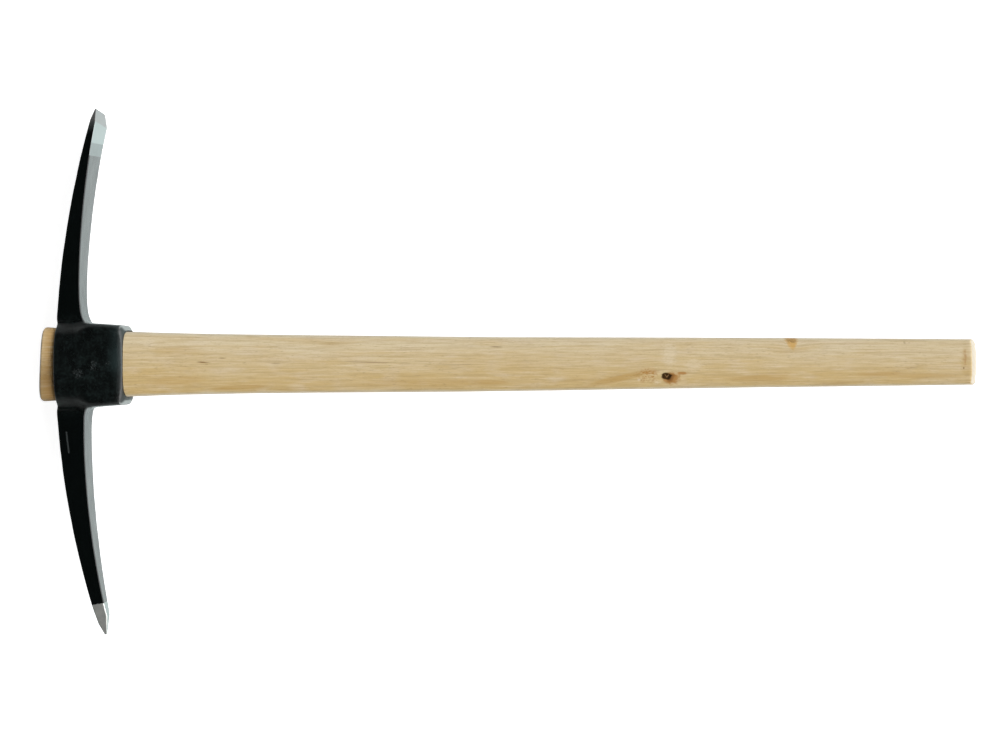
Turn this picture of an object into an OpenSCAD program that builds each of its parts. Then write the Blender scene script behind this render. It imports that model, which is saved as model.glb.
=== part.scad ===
// Pick: a forged head with a chisel arm and a point arm, jammed on the swelled end of a wooden handle.
// The tool lies on its side: +X runs towards the butt, +Y towards the chisel's edge, +Z is up.
// The origin is under the middle of the tool, on the surface that it lies on.

/* [Handle] */
// Length of the handle from its top end to its butt
handle_l = 900; // [600:5:1000]
// Height of the oval at the butt, in the plane of the head
butt_h = 44.3; // [36:0.1:50]
// Thickness of the oval at the butt
butt_d = 34; // [26:0.5:38]
// Height that the straight taper reaches at the top end
shank_h = 60.6; // [54:0.1:70]
// Thickness that the straight taper reaches at the top end
shank_d = 40; // [38:0.5:48]
// Height that the swelling adds at the top end
swell_h = 11.4; // [6:0.1:18]
// Thickness that the swelling adds at the top end
swell_d = 4.5; // [2:0.1:10]
// Length of the swelling from the top end
swell_l = 270; // [150:5:400]
// Rounding of the top end
top_round = 2.5; // [1:0.5:8]
// Rounding of the butt
butt_round = 4.5; // [1:0.5:10]
// Fullness of the oval, where 2 is an ellipse
oval_power = 4; // [2:0.1:5]

/* [Eye] */
// How far the handle stands out of the eye
proud_l = 14.3; // [6:0.1:40]
// Length of the eye along the handle
eye_l = 64.4; // [50:0.1:90]
// Wall of the eye around the handle
eye_wall = 5; // [4.5:0.1:9]
// Wall that the top rim adds where the arms grow out
eye_boss = 3; // [0:0.1:8]
// How far the eye's outside sits off the handle's axis, towards the point
eye_shift = 1.2; // [0:0.1:2]
// Gap between the handle and the eye all round
fit_clearance = 0.15; // [0.05:0.05:0.5]
// Gap that the collar rim adds at the two ends of the oval
collar_slack = 0.4; // [0:0.1:4]
// Wall that the collar rim adds at the two ends of the oval
collar_boss = 1.2; // [0:0.1:4]
// Rounding of the collar rim
collar_round = 4; // [1:0.25:4.25]
// Rounding of the top rim
rim_round = 1.5; // [0.5:0.25:4]
// Fullness of the eye's outside, where 2 is an ellipse
eye_power = 5; // [2:0.1:6]

/* [Arms] */
// Rounding where an arm meets the collar
root_round = 6; // [4:0.5:14]
// Rounding of an arm's long edges
edge_round = 1.8; // [0.5:0.1:4]

/* [Chisel arm] */
// Reach of the cutting edge from the handle's axis
chisel_reach = 245; // [180:0.1:320]
// Radius of the arc that the chisel arm's back follows
chisel_arc_r = 780; // [500:10:1200]
// Thickness of the chisel arm at the eye
chisel_root_t = 22.4; // [16:0.1:28]
// Thickness of the chisel arm where its edge bevel starts
chisel_heel_t = 5.9; // [4:0.1:12]
// Thickness of the cutting edge
chisel_edge_t = 1; // [0.6:0.1:3]
// Length of the edge bevel
chisel_bevel_l = 13; // [13:0.5:40]
// Width of the chisel arm at the eye
chisel_root_w = 26; // [22:0.5:38]
// Width of the chisel behind its cutting edge
chisel_edge_w = 44.5; // [30:0.5:70]
// Length of the corners clipped off the cutting edge
chisel_clip_l = 11; // [2:0.5:12.5]
// Width clipped off each corner of the cutting edge
chisel_clip_w = 5.5; // [1:0.5:10]

/* [Point arm] */
// Reach of the point from the handle's axis
point_reach = 262.5; // [180:0.1:320]
// Radius of the arc that the point arm's back follows
point_arc_r = 860; // [500:10:1200]
// Thickness of the point arm at the eye
point_root_t = 26.8; // [18:0.1:32]
// Thickness of the point arm where the ground point starts
point_heel_t = 11.2; // [6:0.1:16]
// Width of the point arm at the eye
point_root_w = 30; // [22:0.5:38]
// Width of the point arm where the ground point starts
point_heel_w = 12.2; // [6:0.1:20]
// Length of the ground point
point_l = 15; // [10:0.5:40]
// Side of the blunted tip
point_tip = 2; // [1:0.1:5]
// How far the tip lies back from the arm's inner face
point_set = 2.8; // [0:0.1:4]

/* [Hidden] */
steel_paint = [0.07, 0.08, 0.08];
beech = [0.80, 0.70, 0.51];

// Points around an oval, steps around a quarter turn, and rings along the parts
oval_points = 48;
quarter_step = 30;
swell_rings = 10;
shank_rings = 8;
arm_rings = 9;
// How far a cutting body runs past what it cuts
cut_past = 2;

// Places along the handle, counted from its top end
top_rim = proud_l;
collar_rim = proud_l + eye_l;

// The handle's full height and thickness at a place along it
function taper(s, butt, shank) = butt + (shank - butt) * (1 - s / handle_l);
function swelling(s) = pow(max(0, 1 - s / swell_l), 3);
function handle_h(s) = taper(s, butt_h, shank_h) + swell_h * swelling(s);
function handle_d(s) = taper(s, butt_d, shank_d) + swell_d * swelling(s);

// Half height and half thickness of the hole in the eye, at each rim
hole_top = [handle_h(top_rim), handle_d(top_rim)] / 2 + fit_clearance * [1, 1];
hole_collar = [handle_h(collar_rim), handle_d(collar_rim)] / 2 + fit_clearance * [1, 1] + [collar_slack, 0];

// Half height and half thickness of the eye's outside, at each rim and in between
eye_top = hole_top + eye_wall * [1, 1] + [eye_boss, 0];
eye_collar = hole_collar + eye_wall * [1, 1] + [collar_boss, 0];
function eye_half(s) = eye_top + (eye_collar - eye_top) * (s - top_rim) / eye_l;

// The tool lies on the thickest side of its head, and its width runs from edge to point
eye_thickest = max(eye_half(top_rim + rim_round)[1], eye_half(collar_rim - collar_round)[1]);
axis_height = max(eye_thickest, chisel_edge_w / 2);
axis_offset = (point_reach - chisel_reach) / 2;

function between(a, b, share) = a + (b - a) * min(1, max(0, share));
function along(y, from, to) = (y - from) / (to - from);

// Depth of an arc of radius r below its tangent, at a distance y from where they touch
function sag(y, r) = r - sqrt(r * r - y * y);

// A ring around the handle's axis, of a half height and a half thickness, shifted towards the point
function power(c, p) = sign(c) * pow(abs(c), 2 / p);
function oval(s, half, p, shift = 0) = [
    for (i = [0 : oval_points - 1])
        let (turn = 360 * i / oval_points)
        [s, half[0] * power(cos(turn), p) - shift, half[1] * power(sin(turn), p)]
];

// A ring across an arm at a distance y from the axis, from its back to its inner face
function slab(y, back, inner, half_w, r) = [
    for (corner = [[inner - r, r - half_w, 0], [back + r, r - half_w, 90],
                   [back + r, half_w - r, 180], [inner - r, half_w - r, 270]])
        for (turn = [0 : quarter_step : 90])
            [corner[0] + r * cos(corner[2] + turn), y, corner[1] - r * sin(corner[2] + turn)]
];

// Distance in from an end and distance in from the side, around a rounded end
function rounding(r) = [for (turn = [90 : -quarter_step : 0]) [r * (1 - sin(turn)), r * (1 - cos(turn))]];

// A closed skin over rings that have the same number of points
module skin(rings) {
    n = len(rings[0]);
    last = len(rings) - 1;
    sides = [
        for (i = [0 : last - 1], j = [0 : n - 1])
            let (k = (j + 1) % n)
            each [[i * n + j, (i + 1) * n + k, i * n + k], [i * n + j, (i + 1) * n + j, (i + 1) * n + k]]
    ];
    first_cap = [for (j = [0 : n - 1]) j];
    last_cap = [for (j = [n - 1 : -1 : 0]) last * n + j];
    polyhedron([for (ring = rings) each ring], concat(sides, [first_cap, last_cap]));
}

// Moves a shape from the handle's axis and top end to the tool's frame
module in_place() {
    translate([-handle_l / 2, axis_offset, axis_height])
        children();
}

function handle_ring(s, inset) = oval(s, [handle_h(s), handle_d(s)] / 2 - inset * [1, 1], oval_power);

// The wooden handle, cut square at both ends
module handle() {
    top_end = [for (e = rounding(top_round)) handle_ring(e[0], e[1])];
    swelled = [for (i = [1 : swell_rings]) handle_ring(between(top_round, swell_l, i / swell_rings), 0)];
    shank = [
        for (i = [1 : shank_rings - 1])
            handle_ring(between(swell_l, handle_l - butt_round, i / shank_rings), 0)
    ];
    butt = [for (e = rounding(butt_round)) handle_ring(handle_l - e[0], e[1])];
    butt_end = [for (i = [len(butt) - 1 : -1 : 0]) butt[i]];
    rings = concat(
        [oval(-cut_past, [handle_h(0), handle_d(0)] / 2 - top_round * [1, 1], oval_power)],
        top_end, swelled, shank, butt_end,
        [oval(handle_l + cut_past, [butt_h, butt_d] / 2 - butt_round * [1, 1], oval_power)]
    );
    color(beech)
        in_place()
            intersection() {
                skin(rings);
                translate([0, -handle_h(0), -handle_d(0)])
                    cube([handle_l, 2 * handle_h(0), 2 * handle_d(0)]);
            }
}

// The outside of the eye, from its top rim to its collar rim
module eye_body() {
    function ring(s, inset) = oval(s, eye_half(s) - inset * [1, 1], eye_power, eye_shift);
    top = [for (e = rounding(rim_round)) ring(top_rim + e[0], e[1])];
    collar = [for (e = rounding(collar_round)) ring(collar_rim - e[0], e[1])];
    skin(concat(top, [for (i = [len(collar) - 1 : -1 : 0]) collar[i]]));
}

// The tapered hole that the handle jams in
module eye_hole() {
    skin([
        oval(top_rim - cut_past, hole_top, oval_power),
        oval(top_rim, hole_top, oval_power),
        oval(collar_rim, hole_collar, oval_power),
        oval(collar_rim + cut_past, hole_collar, oval_power)
    ]);
}

// Where an arm leaves the collar, and where its buried end lies inside the hole
function root_y(root_t, shift) = eye_half(top_rim + root_t + root_round)[0] + shift;
buried_y = hole_collar[0] / 2;

// The arm's back follows an arc that leaves the top rim at the eye's height
function back(y, arc_r) = top_rim + sag(y, arc_r) - sag(eye_top[0], arc_r);

// What the rounding at the root adds to the inner face
function root_flare(y, root) = root_round - sqrt(pow(root_round, 2) - pow(root_gap(y, root), 2));
function root_gap(y, root) = min(root_round, max(0, root + root_round - y));
function root_places(root) = [for (turn = [0 : quarter_step : 90]) root + root_round * (1 - cos(turn))];
function arm_places(from, to) = [for (i = [1 : arm_rings]) between(from, to, i / arm_rings)];

// The rounding of the long edges, where the arm is thick and wide enough for it
function corner_r(t, half_w) = min(edge_round, t / 3, half_w / 2);

// The flat arm that spreads to a cutting edge across the swing
module chisel_arm() {
    root = root_y(chisel_root_t, -eye_shift);
    heel = chisel_reach - chisel_bevel_l;
    clip = chisel_reach - chisel_clip_l;
    function thickness(y) = y <= heel
        ? between(chisel_root_t, chisel_heel_t, along(y, root, heel))
        : between(chisel_heel_t, chisel_edge_t, along(y, heel, chisel_reach));
    function half_width(y) = y <= clip
        ? between(chisel_root_w, chisel_edge_w, along(y, root, clip)) / 2
        : chisel_edge_w / 2 - chisel_clip_w * along(y, clip, chisel_reach);
    places = concat([buried_y], root_places(root), arm_places(root + root_round, heel), [clip, chisel_reach]);
    skin([
        for (y = places)
            let (b = back(y, chisel_arc_r), t = thickness(y), w = half_width(y))
            slab(y, b, b + t + root_flare(y, root), w, corner_r(t, w))
    ]);
}

// The arm that narrows both ways to a ground point
module point_arm() {
    root = root_y(point_root_t, eye_shift);
    heel = point_reach - point_l;
    heel_inner = back(heel, point_arc_r) + point_heel_t;
    tip_inner = heel_inner - point_set;
    function thickness(y) = between(point_root_t, point_heel_t, along(y, root, heel));
    function half_width(y) =
        between(point_root_w, point_heel_w, pow(max(0, along(y, root, heel)), 2)) / 2;
    places = concat([buried_y], root_places(root), arm_places(root + root_round, heel));
    shaft = [
        for (y = places)
            let (b = back(y, point_arc_r), t = thickness(y), w = half_width(y))
            slab(y, b, b + t + root_flare(y, root), w, corner_r(t, w))
    ];
    tip_half_w = point_tip / 2;
    tip_r = corner_r(point_tip, tip_half_w);
    tip = slab(point_reach, tip_inner - point_tip, tip_inner, tip_half_w, tip_r);
    mirror([0, 1, 0])
        skin(concat(shaft, [tip]));
}

// The forged head
module head() {
    color(steel_paint)
        in_place()
            difference() {
                union() {
                    eye_body();
                    chisel_arm();
                    point_arm();
                }
                eye_hole();
            }
}

handle();
head();
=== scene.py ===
# %% [markdown]
# # A pick, dressed in Blender
# The imported CAD model is the frame of this scene. It says where the handle and the head are, how large they
# are and how the head slides off. Two finer pieces stand for its two solids here, and each gets a finish.

# %% Load the frame
import math

import bmesh
import bpy
import numpy as np
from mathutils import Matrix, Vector, noise


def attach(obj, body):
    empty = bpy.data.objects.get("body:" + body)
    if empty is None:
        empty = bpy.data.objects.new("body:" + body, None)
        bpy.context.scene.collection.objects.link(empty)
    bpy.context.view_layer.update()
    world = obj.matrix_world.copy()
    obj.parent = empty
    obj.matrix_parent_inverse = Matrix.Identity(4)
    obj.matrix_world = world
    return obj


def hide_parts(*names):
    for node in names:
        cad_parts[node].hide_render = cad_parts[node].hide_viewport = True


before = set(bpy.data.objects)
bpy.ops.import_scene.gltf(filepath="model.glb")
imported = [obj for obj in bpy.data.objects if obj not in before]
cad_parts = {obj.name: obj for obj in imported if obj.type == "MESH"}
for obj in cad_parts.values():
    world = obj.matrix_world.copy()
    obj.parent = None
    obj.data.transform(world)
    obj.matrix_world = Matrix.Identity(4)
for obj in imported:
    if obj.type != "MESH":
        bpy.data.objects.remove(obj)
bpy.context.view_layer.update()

# %% [markdown]
# ## The camera
# The tool was photographed from straight above, so a camera with no rotation already looks the right way:
# down, with +Y up in the picture. What is left is its height, its place over the tool, its lens and a turn
# of a seventh of a degree. The height is a guess that fits: a lower camera would show more of the head's
# inner sides. The lens is written in pixels of a picture 1000 wide, because it was fitted to the tool's
# length in such a picture. Lengths are in millimetres, and MM turns them into Blender's metres.

# %% Place the camera
MM = 0.001
AXIS_Y = 8.75
AXIS_Z = 26.98
PICTURE_WIDTH = 1000.0
FOCAL_PIXELS = 1545.0
SENSOR_WIDTH = 36.0
CAMERA_HEIGHT = 1500.0
CAMERA_ASIDE = (-9.3, -11.6)
CAMERA_TURN = -0.14

lens = bpy.data.cameras.new("overhead_camera")
lens.sensor_width = SENSOR_WIDTH
lens.lens = FOCAL_PIXELS / PICTURE_WIDTH * SENSOR_WIDTH
camera = bpy.data.objects.new("overhead_camera", lens)
camera.location = (
    CAMERA_ASIDE[0] * MM,
    (AXIS_Y + CAMERA_ASIDE[1]) * MM,
    (AXIS_Z + CAMERA_HEIGHT) * MM,
)
camera.rotation_euler = (0.0, 0.0, math.radians(CAMERA_TURN))
scene = bpy.context.scene
scene.collection.objects.link(camera)
scene.camera = camera
scene.view_settings.view_transform = "Standard"
print(f"camera {camera.location.z:.3f} m up, lens {lens.lens:.2f} mm")

# %% [markdown]
# ## Writing nodes as sums
# Materials and Geometry Nodes are both trees of nodes. Wiring them by hand takes many lines, so one small
# class wraps a socket and lets Python's own signs add the Math nodes. Every other kind of node comes from
# its one method `node`, which makes the settings first and then fills or links the sockets.

# %% A socket that can be calculated with
class Wire:
    """One output socket of a node tree."""

    def __init__(self, tree, socket=None):
        self.tree = tree
        self.socket = socket

    def node(self, kind, settings=None, inputs=None, out=0):
        """Adds a node of this kind and gives one of its outputs."""
        made = self.tree.nodes.new(kind)
        for name, value in (settings or {}).items():
            setattr(made, name, value)
        for key, value in (inputs or {}).items():
            if isinstance(value, Wire):
                self.tree.links.new(value.socket, made.inputs[key])
            else:
                made.inputs[key].default_value = value
        return Wire(self.tree, made.outputs[out] if len(made.outputs) else None)

    def other(self, out):
        """Another output of the node that this socket belongs to."""
        return Wire(self.tree, self.socket.node.outputs[out])

    def math(self, operation, *terms):
        """Adds a Math node that works on these terms."""
        return self.node("ShaderNodeMath", {"operation": operation}, dict(enumerate(terms)))

    def __add__(self, term):
        return self.math("ADD", self, term)

    def __radd__(self, term):
        return self.math("ADD", term, self)

    def __sub__(self, term):
        return self.math("SUBTRACT", self, term)

    def __rsub__(self, term):
        return self.math("SUBTRACT", term, self)

    def __mul__(self, term):
        return self.math("MULTIPLY", self, term)

    def __rmul__(self, term):
        return self.math("MULTIPLY", term, self)

    def __truediv__(self, term):
        return self.math("DIVIDE", self, term)

    def __rtruediv__(self, term):
        return self.math("DIVIDE", term, self)

    def __pow__(self, term):
        return self.math("POWER", self, term)

    def __abs__(self):
        return self.math("ABSOLUTE", self)


print("signs that a socket understands: + - * / ** abs")

# %% [markdown]
# A few sums come up again and again: a straight ramp that stops at both ends, a soft step, the distance
# from a middle, the strongest of several patches and a mix of two colours. They are ordinary nodes, so
# small functions name them once.

# %% Ramps, soft steps and colour mixes
def ramp(value, low, high, start=0.0, end=1.0):
    """Goes in a straight line from start to end while value goes from low to high."""
    ends = {"Value": value, 1: low, 2: high, 3: start, 4: end}
    return value.node("ShaderNodeMapRange", {"clamp": True}, ends)


def soft_step(value, low, high):
    """Goes smoothly from 0 to 1 while value goes from low to high."""
    ends = {"Value": value, 1: low, 2: high, 3: 0.0, 4: 1.0}
    return value.node("ShaderNodeMapRange", {"interpolation_type": "SMOOTHSTEP"}, ends)


def distance(along, across):
    """How far from a middle a place is that lies this far off both ways."""
    return (along * along + across * across) ** 0.5


def strongest(patches):
    """The largest of several values."""
    total = patches[0]
    for patch in patches[1:]:
        total = total.math("MAXIMUM", total, patch)
    return total


def mix_colour(share, first, second):
    """The first colour where share is 0 and the second where it is 1."""
    settings = {"data_type": "RGBA"}
    return share.node("ShaderNodeMix", settings, {0: share, 6: first, 7: second}, out=2)


def opaque(red, green, blue):
    return (red, green, blue, 1.0)


def grey(level):
    return opaque(level, level, level)


def split(vector):
    """The three numbers of a vector."""
    first = vector.node("ShaderNodeSeparateXYZ", None, {0: vector})
    return first, first.other(1), first.other(2)


print("sums: ramp, soft_step, distance, strongest; colours: mix_colour, grey")

# %% [markdown]
# ## Floor and light
# The tool lies on a white floor. A plain white plane would look grey away from the lamps, so this one also
# glows, but only for the camera and for reflections: it stays white there, and the shadow under the tool is
# still a real shadow. What gloss mirrors of it is a little darker and cooler, as on the arms' inner sides.

# %% The floor
FLOOR_SIDE = 200.0
FLOOR_DROP = 0.3
FLOOR_WHITE = 0.70
FLOOR_ROUGHNESS = 0.9
FLOOR_GLOW = 0.86
FLOOR_SHEEN = (0.58, 0.71, 0.70)


def finish(name):
    """A new material with an empty tree, and a wire to build it with."""
    material = bpy.data.materials.new(name)
    material.use_nodes = True
    material.node_tree.nodes.clear()
    return material, Wire(material.node_tree)


def cover(wire, inputs):
    """Ends a finish with one surface that has these inputs."""
    surface = wire.node("ShaderNodeBsdfPrincipled", None, inputs)
    wire.node("ShaderNodeOutputMaterial", None, {"Surface": surface})


half_floor = FLOOR_SIDE / 2
corners = [(-1, -1), (1, -1), (1, 1), (-1, 1)]
floor_mesh = bpy.data.meshes.new("floor")
floor_points = [(x * half_floor, y * half_floor, -FLOOR_DROP * MM) for x, y in corners]
floor_mesh.from_pydata(floor_points, [], [(0, 1, 2, 3)])
floor = bpy.data.objects.new("floor", floor_mesh)
scene.collection.objects.link(floor)

floor_paper, paper = finish("floor_paper")
ray = paper.node("ShaderNodeLightPath", out="Is Camera Ray")
seen = strongest([ray, ray.other("Is Transmission Ray")])
glow = mix_colour(seen, grey(0.0), grey(FLOOR_GLOW))
glow = mix_colour(ray.other("Is Glossy Ray"), glow, opaque(*FLOOR_SHEEN))
cover(paper, {
    "Base Color": grey(FLOOR_WHITE),
    "Roughness": FLOOR_ROUGHNESS,
    "Specular IOR Level": 0.0,
    "Emission Color": glow,
    "Emission Strength": 1.0,
})
floor_mesh.materials.append(floor_paper)
print(f"floor {FLOOR_SIDE:.0f} m square")

# %% [markdown]
# The light is soft and comes mostly from the right. Broad sun lamps light the floor evenly as far as one
# can see, which area lamps would not: three at the right and a weak one at the left. The sky is white low
# on the right, grey low elsewhere and dark overhead, because black paint that faces straight up then stays
# black, as it does in a studio with its lamps at the sides.

# %% The sky
HORIZON_WHITE = 1.0
HORIZON_GREY = 0.60
OVERHEAD_GREY = 0.02
RIGHT_BEGINS = (0.1, 0.8)
DARKENS_AT_RIGHT = (0.18, 0.66)
DARKENS_ELSEWHERE = (0.04, 0.28)

sky = bpy.data.worlds.new("studio_sky")
sky.use_nodes = True
sky.node_tree.nodes.clear()
air = Wire(sky.node_tree)
right, _, up = split(air.node("ShaderNodeTexCoord", out="Generated"))
at_right = soft_step(right, *RIGHT_BEGINS)
dark_at_right = soft_step(up, *DARKENS_AT_RIGHT)
dark_elsewhere = soft_step(up, *DARKENS_ELSEWHERE)
darkening = dark_elsewhere + (dark_at_right - dark_elsewhere) * at_right
low_sky = mix_colour(at_right, grey(HORIZON_GREY), grey(HORIZON_WHITE))
sky_colour = mix_colour(darkening, low_sky, grey(OVERHEAD_GREY))
dome = air.node("ShaderNodeBackground", None, {"Color": sky_colour, "Strength": 1.0})
air.node("ShaderNodeOutputWorld", None, {"Surface": dome})
scene.world = sky
print("sky from", HORIZON_WHITE, "or", HORIZON_GREY, "to", OVERHEAD_GREY)

# %% The lamps
LAMP_SPREAD = 60.0
LAMPS = {
    "lamp_right": {"turn": 0.0, "height": 30.0, "strength": 2.7},
    "lamp_far": {"turn": 42.0, "height": 30.0, "strength": 1.5},
    "lamp_near": {"turn": -42.0, "height": 30.0, "strength": 1.4},
    "lamp_left": {"turn": 180.0, "height": 15.0, "strength": 0.35},
}

for name, lamp in LAMPS.items():
    light = bpy.data.lights.new(name, "SUN")
    light.energy = lamp["strength"]
    light.angle = math.radians(LAMP_SPREAD)
    lamp_object = bpy.data.objects.new(name, light)
    turn = math.radians(lamp["turn"])
    height = math.radians(lamp["height"])
    level = math.cos(height)
    towards = Vector((math.cos(turn) * level, math.sin(turn) * level, math.sin(height)))
    lamp_object.rotation_euler = towards.to_track_quat("Z", "Y").to_euler()
    scene.collection.objects.link(lamp_object)
    print(f"{name}: {lamp['height']:.0f} degrees up, strength {lamp['strength']}")

# %% [markdown]
# ## The handle
# The handle is one stick of pale wood, a rounded oblong in section. It tapers to the butt and swells at the
# top end, so that the head jams on it. It could be carved from a box with modifiers, but a shape that
# follows one rule from end to end suits Geometry Nodes: a flat grid is bent round, and each size is an
# input of the tree. One way of the grid runs along the handle, over the rounded top edge and the chamfered
# butt, and in to the middle of each end face. The other way runs around it.

# %% The handle's sizes
HANDLE_SIZES = {
    "Length": 900.0,
    "Butt height": 44.3,
    "Butt thickness": 34.0,
    "Shank height": 60.6,
    "Shank thickness": 40.0,
    "Swelling height": 11.4,
    "Swelling thickness": 4.5,
    "Swelling length": 270.0,
    "Oval power": 4.0,
    "Top rounding": 2.5,
    "Butt chamfer length": 6.6,
    "Butt chamfer depth": 6.6,
    "Butt corner": 2.4,
    "Butt unevenness": 0.35,
    "Bow depth": 1.1,
    "Bow place": 430.0,
    "Bow reach": 150.0,
    "Saw slant": 0.045,
    "Sanding wave": 0.12,
    "Knot place": 601.0,
    "Knot offset": -13.9,
    "Knot hollow": 0.7,
    "Knot size": 4.5,
}

handle_tree = bpy.data.node_groups.new("oval_handle", "GeometryNodeTree")
handle_tree.interface.new_socket(name="Handle", in_out="OUTPUT", socket_type="NodeSocketGeometry")
size_sockets = {}
for name in HANDLE_SIZES:
    socket = handle_tree.interface.new_socket(name=name, in_out="INPUT", socket_type="NodeSocketFloat")
    size_sockets[name] = socket.identifier
stick = Wire(handle_tree)
first_size = stick.node("NodeGroupInput")
size = {name: first_size.other(name) for name in HANDLE_SIZES}
print(len(size), "sizes drive the handle")

# %% [markdown]
# The grid's first direction is shared out: a little for each end face, a little for each edge, and the rest
# for the length. From it come the place along the handle, how far the edge is drawn in, and how far an end
# face has closed towards its middle. The butt has a chamfer on its broad sides and a small round corner on
# its narrow ones.

# %% A grid to bend
HANDLE_RINGS = 640
HANDLE_SIDES = 104

grid_inputs = {"Size X": 1.0, "Size Y": 1.0, "Vertices X": HANDLE_RINGS, "Vertices Y": HANDLE_SIDES + 1}
grid = stick.node("GeometryNodeMeshGrid", None, grid_inputs)
across, around, _ = split(stick.node("GeometryNodeInputPosition"))
along = across + 0.5
turn = (around + 0.5) * (2.0 * math.pi)
cosine = turn.math("COSINE", turn)
sine = turn.math("SINE", turn)
print("grid of", HANDLE_RINGS, "rings with", HANDLE_SIDES, "sides")

# %% From the grid to a place on the handle
FACE_SHARE = 0.02
EDGE_SHARE = 0.04
QUARTER = math.pi / 2
CHAMFER_FLATNESS = 0.7
BROAD_SIDES = (0.12, 0.6)

top_turn = ramp(along, FACE_SHARE, EDGE_SHARE, 0.0, QUARTER)
butt_share = ramp(along, 1.0 - EDGE_SHARE, 1.0 - FACE_SHARE)
butt_turn = butt_share * QUARTER


def chamfered(curve):
    """Mostly a straight chamfer, with some of a round edge in it."""
    return butt_share * CHAMFER_FLATNESS + curve * (1.0 - CHAMFER_FLATNESS)


on_broad = soft_step(abs(sine), *BROAD_SIDES)
corner = size["Butt corner"] * (1.0 + size["Butt unevenness"] * cosine)
butt_length = corner + (size["Butt chamfer length"] - corner) * on_broad
butt_depth = corner + (size["Butt chamfer depth"] - corner) * on_broad
straight = size["Length"] - size["Top rounding"] - butt_length
on_top = size["Top rounding"] * (1.0 - top_turn.math("COSINE", top_turn))
on_straight = ramp(along, EDGE_SHARE, 1.0 - EDGE_SHARE) * straight
on_butt = butt_length * chamfered(butt_turn.math("SINE", butt_turn))
place = on_top + on_straight + on_butt
top_in = size["Top rounding"] * (1.0 - top_turn.math("SINE", top_turn))
butt_in = butt_depth * chamfered(1.0 - butt_turn.math("COSINE", butt_turn))
drawn_in = top_in + butt_in
closing = ramp(along, 0.0, FACE_SHARE) * ramp(along, 1.0 - FACE_SHARE, 1.0, 1.0, 0.0)
print("shares of the grid:", FACE_SHARE, EDGE_SHARE - FACE_SHARE, 1.0 - 2 * EDGE_SHARE)

# %% [markdown]
# The rule of the solid gives height and thickness at each place: a straight taper plus a swelling that dies
# out. An oval of power 2 is an ellipse, and one of power 4 is a rounded oblong. A real handle is never
# quite straight or quite smooth, so this one also has a bow of a millimetre, a slight waviness from
# sanding, a top end sawn a little off square and a hollow where a knot has dried out.

# %% From a place to the oval
SWELLING_POWER = 3.0
WAVE_LENGTH = 60.0

share = place / size["Length"]
swelling = ramp(place / size["Swelling length"], 0.0, 1.0, 1.0, 0.0) ** SWELLING_POWER


def tapered(name):
    """A size with its straight taper and its swelling."""
    butt = size["Butt " + name]
    taper = butt + (size["Shank " + name] - butt) * (1.0 - share)
    return taper + size["Swelling " + name] * swelling


roundness = 2.0 / size["Oval power"]
side_y = cosine.math("SIGN", cosine) * abs(cosine) ** roundness
side_z = sine.math("SIGN", sine) * abs(sine) ** roundness
wave_place = stick.node("ShaderNodeCombineXYZ", None, {0: place / WAVE_LENGTH, 1: cosine, 2: sine})
wave = stick.node("ShaderNodeTexNoise", None, {"Vector": wave_place, "Scale": 1.0, "Detail": 2.0})
uneven = (wave - 0.5) * 2.0 * size["Sanding wave"]
handle_y = (tapered("height") / 2.0 - drawn_in + uneven) * closing * side_y
handle_z = (tapered("thickness") / 2.0 - drawn_in + uneven) * closing * side_z
print("oval of power", HANDLE_SIZES["Oval power"])

# %% Bow, saw cut and knot
SAW_REACH = 14.0
UPPER_HALF = (0.0, 0.3)

from_bow = (place - size["Bow place"]) / size["Bow reach"]
bow = size["Bow depth"] / (1.0 + from_bow * from_bow)
slant = size["Saw slant"] * handle_y * ramp(place, 0.0, SAW_REACH, 1.0, 0.0)
from_knot = distance(place - size["Knot place"], handle_y - size["Knot offset"])
hollow = size["Knot hollow"] * soft_step(from_knot / size["Knot size"], 1.0, 0.0)
hollow = hollow * soft_step(sine, *UPPER_HALF)

final_x = (place + slant - size["Length"] / 2.0) * MM
final_y = (handle_y - bow + AXIS_Y) * MM
final_z = (handle_z - hollow + AXIS_Z) * MM
bent = stick.node("ShaderNodeCombineXYZ", None, {0: final_x, 1: final_y, 2: final_z})
print("the bow is at", HANDLE_SIZES["Bow place"], "mm from the top end")

# %% [markdown]
# ## The wood
# The finish is bare sanded beech: cream, with long fine lines, small dark dashes, tan tongues where the
# growth rings come to the surface, and two knots. A picture of wood would stretch at the ends, so the grain
# is a solid pattern in millimetres: it runs on through the wood and shows its rings on the sawn ends. The
# lines flow round a knot as water flows round a stone.

# %% Where the wood is
def in_millimetres(wire):
    """Place along the tool, and height and depth from the handle's axis."""
    x, y, z = split(wire.node("ShaderNodeTexCoord", out="Object"))
    return x / MM, y / MM - AXIS_Y, z / MM - AXIS_Z


def speckle(x, y, z, lengths, detail, roughness):
    """Noise whose grains have these lengths in millimetres along X, Y and Z."""
    parts = {0: x / lengths[0], 1: y / lengths[1], 2: z / lengths[2]}
    vector = x.node("ShaderNodeCombineXYZ", None, parts)
    inputs = {"Vector": vector, "Scale": 1.0, "Detail": detail, "Roughness": roughness}
    return x.node("ShaderNodeTexNoise", None, inputs)


handle_wood, beech = finish("handle_wood")
wood_x, wood_y, wood_z = in_millimetres(beech)
print("wood is measured from the handle's axis")

# %% Grain that flows round the knots
KNOTS = {
    "open_knot": {"x": 150.2, "y": -13.4, "size": 4.6},
    "edge_knot": {"x": 271.0, "y": 21.0, "size": 5.0},
}
KNOT_STRETCH = 1.8
KNOT_SOFTNESS = 0.6
KNOT_PUSH = 0.9
UPPER_SIDE = (-2.0, 6.0)

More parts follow.
